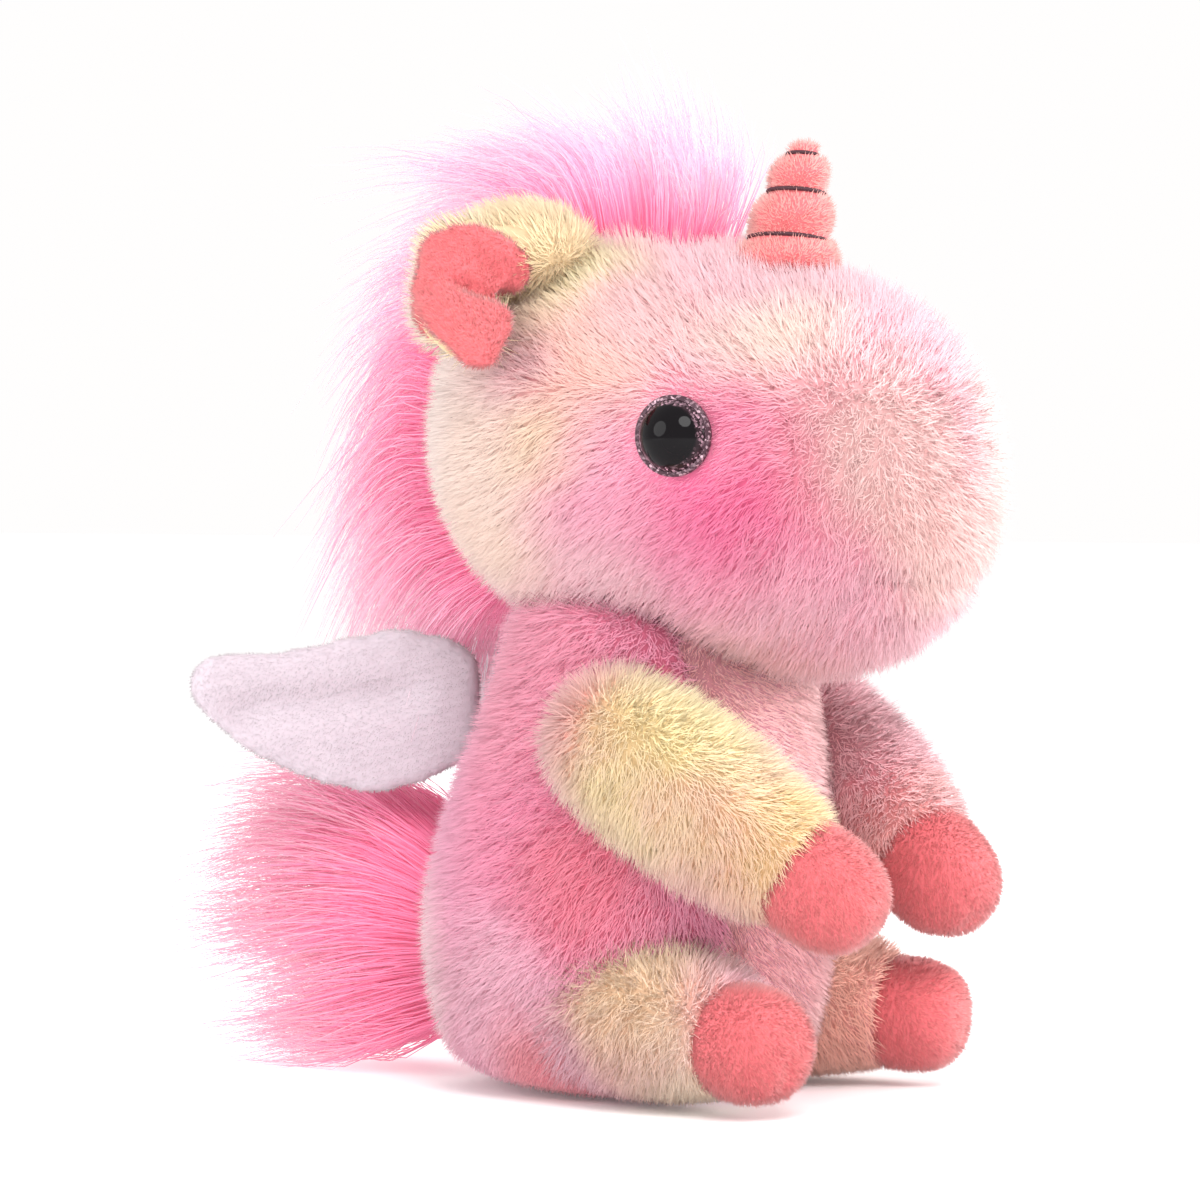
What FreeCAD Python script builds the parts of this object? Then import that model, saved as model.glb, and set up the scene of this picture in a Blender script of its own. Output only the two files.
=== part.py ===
# Seated plush unicorn, about 18 cm tall, as its separate sewn and moulded pieces.
# Frame: +Z up, -Y is the way the toy faces, +X is the toy's own left.
# Origin: middle of the flat seat, on the surface that the toy sits on. Millimetres.
import FreeCAD, Part
import math
import os
from FreeCAD import Placement, Rotation, Vector

# Driving dimensions
fur_wall = 4.0            # fur fabric, backing and pile together
velour_wall = 2.0         # short-pile velour of hooves, horn and ear linings
gap = 0.5                 # air between pieces of two different moving bodies

cranium = Vector(0, -2, 116.5)
cranium_r = 37.5
muzzle = Vector(0, -35, 110)
muzzle_r = 37.0
chin_seam_z = 92.0        # where the gusset meets the chin panel
gusset_half_plan = [(20, -76), (21, -66), (29, -52), (24, -34), (12, -8), (7, 8)]
gusset_tips_y = (14, -90)
chin_half_plan = [(16, -76), (18, -62), (17, -45), (12, -28)]
chin_tips_y = (-20, -90)
chin_floor_z = 40.0       # any height below the chin
head_top_z = 200.0        # any height above the head

torso_lean = 5.0          # degrees that the torso leans forward
torso_top_z = 68.0
torso_profile = [(26.5, -3), (32.5, 6), (36, 18), (37, 33), (36, 47), (33.5, 59), (30, 76)]
belly_half_width = 17.0
seat_r = 22.0
pouch_foot = Vector(0, 13, 5.5)    # bean bag behind the legs, low in the body
pouch_r = 13.5
pouch_height = 25.0
pouch_rounding = 6.0
pouch_wall = 0.8

neck_pivot = Vector(0, -5, 74)
neck_r = 19.0
head_nod = (-7, 7)

arm_shoulder = Vector(31, -14, 65.5)
arm_direction = Vector(-11.6, -41, -28.5)
arm_profile = [(12.5, 0), (14, 14), (13.4, 28), (11, 41)]
arm_hoof_profile = [(10.6, 41), (10.6, 50), (8.2, 57), (3.5, 60)]
arm_swing = (-2, 16)

leg_hip = Vector(20, -8, 16)
leg_direction = Vector(10, -42, -4)
leg_profile = [(14.2, 0), (14.2, 10), (13, 20), (11.4, 29)]
leg_hoof_profile = [(11.0, 29), (11.3, 36), (10.2, 43), (7.5, 46)]
leg_spread = (-10, 18)

eye_d = 14.0              # standard safety eye
eye_centre = Vector(37, -32, 116.5)
eye_out = Vector(0.99, -0.14, 0)
lens_height = 4.6
glitter_wall = 0.8
post_d = 3.4
post_length = 12.0
washer_depth = 2.2
washer_d = 13.0
washer_wall = 1.6

ear_root = Vector(28.6, 4, 143.4)
ear_clearance = 1.2       # from the head, so that the ear can fold
ear_along = Vector(0.709, 0.658, 0.253)
ear_across = Vector(0.289, 0.057, -0.955)
ear_length = 20.0
ear_half_width = 12.5
ear_fold = 24.0           # degrees each half is turned forward about the crease
ear_wall = 2.4

horn_foot = Vector(0, -35.5, 147.2)
horn_rolls = [(8.9, 5.2), (7.7, 9.0), (5.7, 7.2), (3.6, 2.8)]    # radius and height
horn_groove = 0.9
horn_pivot_height = 2.5
horn_thread_r = 0.45
horn_thread_sink = 0.15

mane_half = 9.0
mane_centre = Vector(0, 13, 113)
mane_r = 45.0
mane_front_y = 8.0
mane_foot_z = 91.5
tape_half = 5.0
tape_wall = 1.4
forelock_foot = Vector(0, -6, 150)
forelock_profile = [(13.5, -4), (13, 6), (10.5, 16), (6.5, 24), (2, 28.5)]

tail_root = Vector(0, 35.5, 26)
tail_direction = Vector(0, 62, 0)
tail_profile = [(3.5, 1), (12, 7), (20.5, 20), (23, 34), (19.5, 50), (11, 60), (3, 64)]
tail_core_r = 3.0
tail_core_length = 34.0
wing_root = Vector(8.5, 30.5, 0)
wing_outline = [(2.5, 58), (1.5, 68), (2.5, 79.5), (12, 82.3), (31, 78.8), (46, 78), (51, 73),
                (48.5, 67.5), (40, 60), (25, 53.5), (12, 52.4)]
wing_angle = 45.0
wing_skin = 1.2
wing_pad = 3.2
wing_seam = 1.6           # seam allowance between the pad and the wing's edge


def round_about(profile, foot, direction, ball=False):
    """Solid of revolution: (radius, height) points from the foot along a direction.

    With ball set, the first radius is closed by half a ball behind the first height."""
    curve = Part.BSplineCurve()
    curve.interpolate([Vector(r, 0, h) for r, h in profile])
    first_r, first_h = profile[0]
    high = Vector(0, 0, profile[-1][1])
    low = Vector(0, 0, first_h - (first_r if ball else 0))
    if ball:
        half = first_r * math.sqrt(0.5)
        start = Part.Arc(low, Vector(half, 0, first_h - half), curve.StartPoint).toShape()
    else:
        start = Part.makeLine(low, curve.StartPoint)
    edges = [start, curve.toShape(), Part.makeLine(curve.EndPoint, high), Part.makeLine(high, low)]
    solid = Part.Face(Part.Wire(edges)).revolve(Vector(0, 0, 0), Vector(0, 0, 1), 360)
    solid.Placement = Placement(foot, Rotation(Vector(0, 0, 1), direction))
    return solid


def thinner(profile, wall, end_wall=0):
    """The same profile with its radius less the wall, and its far end drawn in."""
    inner = [(max(r - wall, 1.0), h) for r, h in profile]
    inner[-1] = (inner[-1][0], inner[-1][1] - end_wall)
    return inner


def sphere(centre, radius):
    return Part.makeSphere(radius, centre)


def joined(*shapes):
    whole = shapes[0].fuse(list(shapes[1:])) if len(shapes) > 1 else shapes[0]
    return whole.removeSplitter()


def mirrored(shape):
    return shape.mirror(Vector(0, 0, 0), Vector(1, 0, 0))


def turned(shape, pivot, axis, degrees):
    copy = shape.copy()
    copy.rotate(pivot, axis, degrees)
    return copy


def swept(shape, pivot, axis, low, high, steps):
    """The room that a shape needs as it turns from low to high degrees."""
    angles = [low + (high - low) * i / steps for i in range(steps + 1)]
    copies = [turned(shape, pivot, axis, a) for a in angles]
    return copies[0].fuse(copies[1:])


def capsule(a, ra, b, rb):
    """Two balls and the cone that is tangent to both."""
    along = b.sub(a)
    length = along.Length
    along.normalize()
    sine = (ra - rb) / length
    cosine = math.sqrt(1 - sine * sine)
    foot = a + along * (ra * sine)
    cone_length = length + (rb - ra) * sine
    if abs(ra - rb) < 0.01:
        middle = Part.makeCylinder(ra, length, a, along)
    else:
        middle = Part.makeCone(ra * cosine, rb * cosine, cone_length, foot, along)
    return joined(sphere(a, ra), middle, sphere(b, rb))


def prism(points, low_z, high_z):
    """A closed smooth outline in plan, extruded upwards."""
    curve = Part.BSplineCurve()
    curve.interpolate([Vector(x, y, low_z) for x, y in points], PeriodicFlag=True)
    return Part.Face(Part.Wire(curve.toShape())).extrude(Vector(0, 0, high_z - low_z))


def half_space(side):
    """A block that covers everything on one side of the toy's middle plane."""
    size = 300
    return Part.makeBox(size, size, size, Vector(0 if side > 0 else -size, -size / 2, -size / 2))


def largest(shape):
    return max(shape.Solids, key=lambda s: s.Volume)


# Limbs

def limb_envelope(foot, direction, profile, hoof_profile):
    """Outer shape of a whole arm or leg with the gap round it."""
    sleeve = round_about([(r + gap, h) for r, h in profile], foot, direction, ball=True)
    hoof = round_about([(r + gap, h) for r, h in hoof_profile], foot, direction)
    return joined(sleeve, hoof)


def limb_parts(side, limb, foot, direction, profile, hoof_profile):
    """Fur sleeve, velour hoof and the stuffing that fills them both."""
    fill_profile = thinner(profile, fur_wall)
    sleeve_inner = round_about(fill_profile, foot, direction, ball=True)
    sleeve = round_about(profile, foot, direction, ball=True).cut(sleeve_inner)
    hoof_inner = round_about(thinner(hoof_profile, velour_wall, velour_wall), foot, direction)
    hoof = round_about(hoof_profile, foot, direction).cut(hoof_inner)
    parts = {"sleeve": sleeve, "hoof": hoof, "stuffing": joined(sleeve_inner, hoof_inner)}
    return {"%s_%s_%s" % (side, limb, name): piece for name, piece in parts.items()}


# Torso

def torso_shape(wall):
    """Pear that leans forward, flat where it sits and at the neck."""
    direction = Rotation(Vector(1, 0, 0), torso_lean).multVec(Vector(0, 0, 1))
    pear = round_about([(r - wall, h) for r, h in torso_profile], Vector(0, 0, 0), direction)
    size = 120
    height = torso_top_z - 2 * wall
    return pear.common(Part.makeBox(size, size, height, Vector(-size / 2, -size / 2, wall)))


def pillow(centre, radius, height, rounding):
    """Upright cylinder with well rounded rims."""
    drum = Part.makeCylinder(radius, height, centre)
    return drum.makeFillet(rounding, [e for e in drum.Edges if e.Closed])


def make_torso(pockets):
    outer = torso_shape(0)
    inner = torso_shape(fur_wall)
    skin = outer.cut(inner).cut(pockets)
    seat_room = Part.makeCylinder(seat_r, fur_wall, Vector(0, 0, 0))
    side = belly_half_width
    belly_room = prism([(-side, -60), (side, -60), (side + 1, -20), (0, -16), (-side - 1, -20)],
                       fur_wall, torso_top_z)
    rest = skin.cut(seat_room)
    sides = rest.cut(belly_room)
    bag = pillow(pouch_foot, pouch_r, pouch_height, pouch_rounding)
    load = pillow(pouch_foot + Vector(0, 0, pouch_wall), pouch_r - pouch_wall,
                  pouch_height - 2 * pouch_wall, pouch_rounding - pouch_wall)
    return {
        "body_side_left": largest(sides.common(half_space(1))),
        "body_side_right": largest(sides.common(half_space(-1))),
        "belly_panel": largest(rest.common(belly_room)),
        "seat_panel": largest(skin.common(seat_room)),
        "body_stuffing": largest(inner.cut(pockets).cut(bag)),
        "pellet_pouch": bag.cut(load),
        "pellets": load,
    }


# Head

def head_shape(wall):
    return capsule(cranium, cranium_r - wall, muzzle, muzzle_r - wall)


def safety_eye():
    """Left eye: dome, glitter disc behind it, post through the fabric, washer inside."""
    out = Vector(eye_out)
    out.normalize()
    back = eye_centre - out * 0.6
    dome_r = (eye_d ** 2 / 4 + lens_height ** 2) / (2 * lens_height)
    dome = sphere(back + out * (lens_height - dome_r), dome_r)
    lens = dome.common(Part.makeCylinder(eye_d / 2, lens_height + 1, back, out))
    disc = Part.makeCylinder(eye_d / 2 + 0.5, glitter_wall, back - out * glitter_wall, out)
    post_start = back - out * glitter_wall
    post = Part.makeCylinder(post_d / 2, post_length, post_start, out * -1)
    washer_foot = post_start - out * washer_depth
    washer = Part.makeCylinder(washer_d / 2, washer_wall, washer_foot, out * -1)
    washer = washer.cut(Part.makeCylinder(post_d / 2, washer_wall, washer_foot, out * -1))
    socket = Part.makeCylinder(eye_d / 2 + 0.5, 20, back - out * glitter_wall, out)
    return {"eye_lens": lens, "eye_glitter_disc": disc, "eye_post": post, "eye_washer": washer}, socket


def leaf_plan(half, tips_y):
    """Closed outline from its left half, its back tip and a point ahead of the nose."""
    back, front = tips_y
    return half + [(0, back)] + [(-x, y) for x, y in reversed(half)] + [(0, front)]


def gusset_room():
    """Leaf-shaped forehead and nose panel, seen from above."""
    return prism(leaf_plan(gusset_half_plan, gusset_tips_y), chin_seam_z, head_top_z)


def chin_room():
    return prism(leaf_plan(chin_half_plan, chin_tips_y), chin_floor_z, chin_seam_z)


def make_head(sockets):
    outer = head_shape(0)
    inner = head_shape(fur_wall)
    left_eye, left_socket = safety_eye()
    hardware = [piece for piece in left_eye.values()]
    hardware += [mirrored(piece) for piece in left_eye.values()]
    skin = outer.cut(inner).cut(sockets).cut([left_socket, mirrored(left_socket)] + hardware)
    gusset = skin.common(gusset_room())
    chin = skin.common(chin_room())
    sides = skin.cut([gusset_room(), chin_room()])
    parts = {
        "head_side_left": largest(sides.common(half_space(1))),
        "head_side_right": largest(sides.common(half_space(-1))),
        "head_gusset": largest(gusset),
        "chin_panel": largest(chin),
        "head_stuffing": largest(inner.cut(sockets).cut(hardware + [left_socket, mirrored(left_socket)])),
    }
    for name, piece in left_eye.items():
        parts["left_" + name] = piece
        parts["right_" + name] = mirrored(piece)
    return parts


# Ears, made for the left side

def ear_frame():
    along = Vector(ear_along)
    along.normalize()
    across = Vector(ear_across)
    across = across - along * across.dot(along)
    across.normalize()
    return along, across, across.cross(along)


def ear_leaf(wall, lift):
    """Two half leaves that meet at the crease and are folded forward."""
    along, across, front = ear_frame()
    halves = []
    for side in (-1, 1):
        start = Vector(0, 0, 0)
        wide = across * side
        points = [wide * (ear_half_width * w) + along * (ear_length * a)
                  for w, a in ((0.82, 0.05), (1.0, 0.4), (0.86, 0.8), (0.42, 0.98))]
        edge = Part.BSplineCurve()
        edge.interpolate([start + wide * 2] + points + [along * ear_length])
        wire = Part.Wire([edge.toShape(), Part.makeLine(edge.EndPoint, start),
                          Part.makeLine(start, edge.StartPoint)])
        leaf = Part.Face(wire).extrude(front * wall)
        leaf.translate(front * lift)
        leaf.rotate(Vector(0, 0, 0), along, -side * ear_fold)
        halves.append(leaf)
    return joined(*halves)


def make_ear():
    outer = ear_leaf(ear_wall, 0)
    lining = ear_leaf(velour_wall, ear_wall).cut(outer)
    parts = {"ear_outer": outer, "ear_lining": lining}
    room = sphere(cranium, cranium_r + ear_clearance)
    for name, piece in parts.items():
        piece.translate(ear_root)
        parts[name] = largest(piece.cut(room))
    return parts


# Horn

def horn_levels():
    """Height and radius of the groove on top of each roll."""
    levels = []
    height = 0
    for (r, roll), (next_r, _) in zip(horn_rolls, horn_rolls[1:]):
        height += roll
        levels.append((height, min(r, next_r) - horn_groove))
    return levels


def horn_outline(wall):
    """Stack of bulging rolls, as arcs from groove to groove."""
    grooves = horn_levels()
    total = sum(roll for _, roll in horn_rolls)
    ends = [(0, horn_rolls[0][0] - 0.3)] + grooves + [(total, horn_rolls[-1][0] - 2.0)]
    edges = []
    for (r, _), (low, low_r), (high, high_r) in zip(horn_rolls, ends, ends[1:]):
        if high == total:
            high -= wall
        points = [Vector(low_r - wall, 0, low), Vector(r - wall, 0, (low + high) / 2),
                  Vector(max(high_r - wall, 0.4), 0, high)]
        edges.append(Part.Arc(*points).toShape())
    top = Vector(0, 0, total - wall)
    bottom = Vector(0, 0, 0)
    edges.append(Part.makeLine(edges[-1].Vertexes[-1].Point, top))
    edges.append(Part.makeLine(top, bottom))
    edges.append(Part.makeLine(bottom, edges[0].Vertexes[0].Point))
    solid = Part.Face(Part.Wire(edges)).revolve(Vector(0, 0, 0), Vector(0, 0, 1), 360)
    solid.translate(horn_foot)
    return solid


def horn_ball(extra):
    """Rounded foot of the horn's stuffing, which lets it lean in its socket."""
    pivot = horn_foot + Vector(0, 0, horn_pivot_height)
    radius = math.hypot(horn_rolls[0][0] - 0.3, horn_pivot_height)
    return sphere(pivot, radius + extra)


def make_horn():
    filling = horn_outline(velour_wall)
    cover = horn_outline(0).cut(filling)
    size = 40
    below = Part.makeBox(size, size, size, horn_foot - Vector(size / 2, size / 2, size))
    rings = []
    for height, radius in horn_levels():
        rings.append(Part.makeTorus(radius + horn_thread_sink, horn_thread_r, horn_foot + Vector(0, 0, height)))
    return {
        "horn_cover": largest(cover.cut(rings)),
        "horn_stuffing": joined(filling, horn_ball(0).common(below)),
        "horn_thread": Part.makeCompound(rings),
    }


# Hair

def disc_across(centre, radius, half):
    return Part.makeCylinder(radius, 2 * half, centre - Vector(half, 0, 0), Vector(1, 0, 0))


def make_hair():
    size = 120
    behind = Part.makeBox(size, size, size, Vector(-size / 2, mane_front_y, mane_foot_z))
    tape = disc_across(cranium, cranium_r + tape_wall, tape_half)
    tape = tape.cut(disc_across(cranium, cranium_r, tape_half)).common(behind)
    mane = disc_across(mane_centre, mane_r, mane_half)
    mane = mane.cut(disc_across(cranium, cranium_r + tape_wall, mane_half)).common(behind)
    tuft = round_about(forelock_profile, forelock_foot, Vector(0, 0, 1)).cut(head_shape(0))
    return {"mane_tape": tape, "mane_hair": largest(mane), "forelock_hair": largest(tuft)}


def make_tail():
    hair = round_about(tail_profile, tail_root, tail_direction)
    core_foot = tail_root + Vector(0, tail_profile[0][1], 0)
    core = Part.makeCylinder(tail_core_r, tail_core_length, core_foot, tail_direction)
    return {"tail_hair": hair.cut(core), "tail_core": core}


# Wings, made for the left side

def wing_slab(inset, low, high):
    """The wing's outline, drawn in by inset, between two depths through its thickness."""
    middle_u = sum(u for u, _ in wing_outline) / len(wing_outline)
    middle_z = sum(z for _, z in wing_outline) / len(wing_outline)
    shrink = 1 - inset / 14
    angle = math.radians(wing_angle)
    along = Vector(math.sin(angle), math.cos(angle), 0)
    through = Vector(math.cos(angle), -math.sin(angle), 0)
    points = []
    for u, z in wing_outline:
        u = middle_u + (u - middle_u) * shrink
        z = middle_z + (z - middle_z) * shrink
        points.append(wing_root + along * u + Vector(0, 0, z) + through * low)
    curve = Part.BSplineCurve()
    curve.interpolate(points, PeriodicFlag=True)
    return Part.Face(Part.Wire(curve.toShape())).extrude(through * (high - low))


def make_wing():
    half = wing_pad / 2
    pad = wing_slab(wing_seam, -half, half)
    front = wing_slab(0, 0, half + wing_skin).cut(pad)
    back = wing_slab(0, -half - wing_skin, 0).cut(pad)
    return {"wing_front": front, "wing_back": back, "wing_padding": pad}


def make_neck():
    """Stuffing that fills the neck opening, dished to let the head nod on it."""
    disc = Part.makeCylinder(neck_r, 20, Vector(0, neck_pivot.y, torso_top_z + gap))
    return disc.cut(swept(head_shape(-gap), neck_pivot, Vector(-1, 0, 0), head_nod[0], head_nod[1], 4))


def main():
    arm_pocket = swept(limb_envelope(arm_shoulder, arm_direction, arm_profile, arm_hoof_profile),
                       arm_shoulder, Vector(-1, 0, 0), arm_swing[0], arm_swing[1], 3)
    leg_pocket = swept(limb_envelope(leg_hip, leg_direction, leg_profile, leg_hoof_profile),
                       leg_hip, Vector(0, 0, 1), leg_spread[0], leg_spread[1], 4)
    pockets = [arm_pocket, mirrored(arm_pocket), leg_pocket, mirrored(leg_pocket)]
    parts = make_torso(pockets)
    parts["neck_stuffing"] = largest(make_neck())
    parts.update(make_head([horn_ball(gap)]))
    parts.update(make_horn())
    parts.update(make_hair())
    parts.update(make_tail())
    paired = dict(make_ear())
    paired.update(make_wing())
    for name, piece in paired.items():
        parts["left_" + name] = piece
        parts["right_" + name] = mirrored(piece)
    for limb, foot, direction, profile, hoof_profile in (
            ("arm", arm_shoulder, arm_direction, arm_profile, arm_hoof_profile),
            ("leg", leg_hip, leg_direction, leg_profile, leg_hoof_profile)):
        for name, piece in limb_parts("left", limb, foot, direction, profile, hoof_profile).items():
            parts[name] = piece
            parts[name.replace("left", "right")] = mirrored(piece)
    os.makedirs("parts", exist_ok=True)
    for name, piece in sorted(parts.items()):
        piece.exportStep("parts/%s.step" % name)
        print(name, len(piece.Solids), piece.isValid(), round(piece.Volume))
    box = Part.makeCompound(list(parts.values())).BoundBox
    print(len(parts), "pieces, X %.1f %.1f, Y %.1f %.1f, Z %.1f %.1f" % (
        box.XMin, box.XMax, box.YMin, box.YMax, box.ZMin, box.ZMax))


main()
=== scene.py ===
import math
import random

import bmesh
import bpy
import numpy as np
from mathutils import Matrix, Vector, noise


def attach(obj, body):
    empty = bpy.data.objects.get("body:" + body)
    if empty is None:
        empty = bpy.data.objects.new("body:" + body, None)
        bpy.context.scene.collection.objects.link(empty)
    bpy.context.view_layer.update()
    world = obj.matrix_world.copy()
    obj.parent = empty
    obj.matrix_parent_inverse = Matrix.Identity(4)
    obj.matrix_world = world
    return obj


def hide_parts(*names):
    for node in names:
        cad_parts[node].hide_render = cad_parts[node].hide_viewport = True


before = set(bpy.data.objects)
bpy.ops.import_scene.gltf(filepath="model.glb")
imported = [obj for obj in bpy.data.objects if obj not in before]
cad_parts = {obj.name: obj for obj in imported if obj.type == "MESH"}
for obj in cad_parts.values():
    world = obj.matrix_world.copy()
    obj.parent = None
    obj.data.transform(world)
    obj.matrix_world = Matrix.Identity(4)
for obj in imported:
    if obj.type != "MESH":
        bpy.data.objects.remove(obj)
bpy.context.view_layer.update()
mm = 0.001
collection = bpy.context.scene.collection
noise.seed_set(1)    # unseeded, the pile's swirls would follow the clock

view = {
    "place": (-755.6, -484.2, 110.8),
    "target": (-1.0, 5.8, 87.3),
    "lens": 150.0,
    "sensor": 36.0,
}

studio = {
    "sky": (1.0, 0.99, 0.985),
    "skyStrength": 1.0,
    # name, place, size, watts
    "lamps": [
        ("keyLight", (-520, -620, 760), 0.55, 6.7),
        ("frontLight", (420, -860, 330), 0.60, 7.4),
        ("fillLight", (-900, 420, 420), 0.70, 4.5),
        ("rimLight", (620, 380, 620), 0.50, 2.5),
    ],
    "floorSize": 12.0,
}


def point(x, y, z):
    return Vector((x, y, z)) * mm


def lookAt(thing, target):
    thing.rotation_euler = (target - thing.location).to_track_quat("-Z", "Y").to_euler()


def makeCamera():
    lens = bpy.data.cameras.new("camera")
    lens.lens = view["lens"]
    lens.sensor_width = view["sensor"]
    lens.clip_start = 0.05
    camera = bpy.data.objects.new("camera", lens)
    camera.location = point(*view["place"])
    lookAt(camera, point(*view["target"]))
    collection.objects.link(camera)
    bpy.context.scene.camera = camera


def makeStudio():
    world = bpy.data.worlds.new("studio")
    world.use_nodes = True
    sky = world.node_tree.nodes["Background"]
    sky.inputs["Color"].default_value = (*studio["sky"], 1)
    sky.inputs["Strength"].default_value = studio["skyStrength"]
    bpy.context.scene.world = world
    for name, place, size, watts in studio["lamps"]:
        lamp = bpy.data.lights.new(name, "AREA")
        lamp.shape = "DISK"
        lamp.size = size
        lamp.energy = watts
        holder = bpy.data.objects.new(name, lamp)
        holder.location = point(*place)
        lookAt(holder, point(0, 0, 80))
        collection.objects.link(holder)
    bm = bmesh.new()
    bmesh.ops.create_grid(bm, x_segments=1, y_segments=1, size=studio["floorSize"] / 2)
    floor = finished("floor", bm, [floorPaint()])


def addNode(tree, kind, values=None, **settings):
    node = tree.nodes.new(kind)
    for key, value in settings.items():
        setattr(node, key, value)
    for key, value in (values or {}).items():
        if isinstance(value, bpy.types.NodeSocket):
            tree.links.new(value, node.inputs[key])
        else:
            node.inputs[key].default_value = value
    return node


def maths(tree, operation, *values, clamp=False):
    node = addNode(tree, "ShaderNodeMath", dict(enumerate(values)), operation=operation)
    node.use_clamp = clamp
    return node.outputs[0]


def vectorMaths(tree, operation, *values):
    node = tree.nodes.new("ShaderNodeVectorMath")
    node.operation = operation
    for index, value in enumerate(values):
        key = "Scale" if operation == "SCALE" and index == 1 else index
        if isinstance(value, bpy.types.NodeSocket):
            tree.links.new(value, node.inputs[key])
        else:
            node.inputs[key].default_value = value
    return node.outputs["Value" if operation in ("LENGTH", "DISTANCE", "DOT_PRODUCT") else "Vector"]


def blendColours(tree, factor, a, b, kind="MIX"):
    node = addNode(tree, "ShaderNodeMix", data_type="RGBA", blend_type=kind)
    for key, value in ((0, factor), (6, a), (7, b)):
        if isinstance(value, bpy.types.NodeSocket):
            tree.links.new(value, node.inputs[key])
        else:
            node.inputs[key].default_value = value
    return node.outputs[2]


# 0 to 255 as seen on screen, to the linear values that nodes use
def dye(red, green, blue):
    def linear(v):
        v = v / 255
        return v / 12.92 if v < 0.04045 else ((v + 0.055) / 1.055) ** 2.4
    return (linear(red), linear(green), linear(blue), 1.0)


def newMaterial(name, roughness, sheen=0.0, specular=0.3):
    material = bpy.data.materials.new(name)
    material.use_nodes = True
    shader = material.node_tree.nodes["Principled BSDF"]
    shader.inputs["Roughness"].default_value = roughness
    shader.inputs["Sheen Weight"].default_value = sheen
    shader.inputs["Specular IOR Level"].default_value = specular
    return material, material.node_tree, shader


def floorPaint():
    material, tree, shader = newMaterial("floorPaint", 0.9, specular=0.1)
    place = addNode(tree, "ShaderNodeTexCoord").outputs["Object"]
    grain = addNode(tree, "ShaderNodeTexNoise", {"Vector": place, "Scale": 40.0}).outputs["Fac"]
    grain = maths(tree, "MULTIPLY", grain, 0.02)
    colour = blendColours(tree, grain, (0.96, 0.96, 0.96, 1), (0.93, 0.93, 0.93, 1))
    tree.links.new(colour, shader.inputs["Base Color"])
    shader.inputs["Emission Color"].default_value = (1, 1, 1, 1)
    shader.inputs["Emission Strength"].default_value = 0.07
    return material


# soft dye patches at places on the toy; painted shade darkens and warms each strand's root, and painted light
# makes its tip paler
def dyedFurWithPaintedLight(name, base, patches, rough=0.85, rootShade=1.0, paintedTipLight=0.10, wander=5.0, paired=True):
    material, tree, shader = newMaterial(name, rough, sheen=0.25, specular=0.15)
    place = addNode(tree, "ShaderNodeTexCoord").outputs["Object"]
    drift = addNode(tree, "ShaderNodeTexNoise", {"Vector": place, "Scale": 75.0, "Detail": 3.0})
    drift = vectorMaths(tree, "SUBTRACT", drift.outputs["Color"], (0.5, 0.5, 0.5))
    place = vectorMaths(tree, "ADD", place, vectorMaths(tree, "SCALE", drift, wander * 2 * mm))
    split = addNode(tree, "ShaderNodeSeparateXYZ", {"Vector": place})
    side = maths(tree, "ABSOLUTE", split.outputs["X"]) if paired else split.outputs["X"]
    place = addNode(tree, "ShaderNodeCombineXYZ", {
        "X": side, "Y": split.outputs["Y"], "Z": split.outputs["Z"],
    })
    colour = dye(*base)
    for spot, radius, soft, tint in patches:
        away = vectorMaths(tree, "DISTANCE", place.outputs[0], tuple(point(*spot)))
        reach = addNode(tree, "ShaderNodeMapRange", {
            "Value": away, "From Min": (radius + soft) * mm, "From Max": (radius - soft) * mm,
        }, interpolation_type="SMOOTHSTEP")
        colour = blendColours(tree, reach.outputs[0], colour, dye(*tint))
    along = addNode(tree, "ShaderNodeAttribute", attribute_name="along").outputs["Fac"]
    strand = addNode(tree, "ShaderNodeAttribute", attribute_name="strand").outputs["Fac"]
    # painted shade at the root, standing for the shade down in the pile, and painted light mixed in at the
    # tip
    rooted = blendColours(tree, 1.0, colour, (rootShade, rootShade * 0.90, rootShade * 0.92, 1), "MULTIPLY")
    tipped = blendColours(tree, paintedTipLight, colour, (1, 1, 1, 1))
    colour = blendColours(tree, maths(tree, "POWER", along, 0.6), rooted, tipped)
    value = addNode(tree, "ShaderNodeMapRange", {"Value": strand, "To Min": 0.90, "To Max": 1.06}).outputs[0]
    colour = addNode(tree, "ShaderNodeHueSaturation", {"Color": colour, "Value": value}).outputs[0]
    tree.links.new(colour, shader.inputs["Base Color"])
    return material


# short combed pile in fine rows, with painted shade: a deeper colour at each strand's root, between the rows
def ribbedVelour(name, tint, deep):
    material, tree, shader = newMaterial(name, 0.8, sheen=0.35, specular=0.15)
    place = addNode(tree, "ShaderNodeTexCoord").outputs["Object"]
    cloud = addNode(tree, "ShaderNodeTexNoise", {"Vector": place, "Scale": 260.0, "Detail": 4.0})
    cloud = maths(tree, "MULTIPLY", cloud.outputs["Fac"], 0.35)
    along = addNode(tree, "ShaderNodeAttribute", attribute_name="along").outputs["Fac"]
    strand = addNode(tree, "ShaderNodeAttribute", attribute_name="strand").outputs["Fac"]
    lift = maths(tree, "ADD", maths(tree, "MULTIPLY", along, 0.75), cloud, clamp=True)
    # painted shade: the deep colour at the roots and on the backing, the tint towards the tips
    colour = blendColours(tree, lift, dye(*deep), dye(*tint))
    value = addNode(tree, "ShaderNodeMapRange", {"Value": strand, "To Min": 0.88, "To Max": 1.08}).outputs[0]
    colour = addNode(tree, "ShaderNodeHueSaturation", {"Color": colour, "Value": value}).outputs[0]
    tree.links.new(colour, shader.inputs["Base Color"])
    return material


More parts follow.
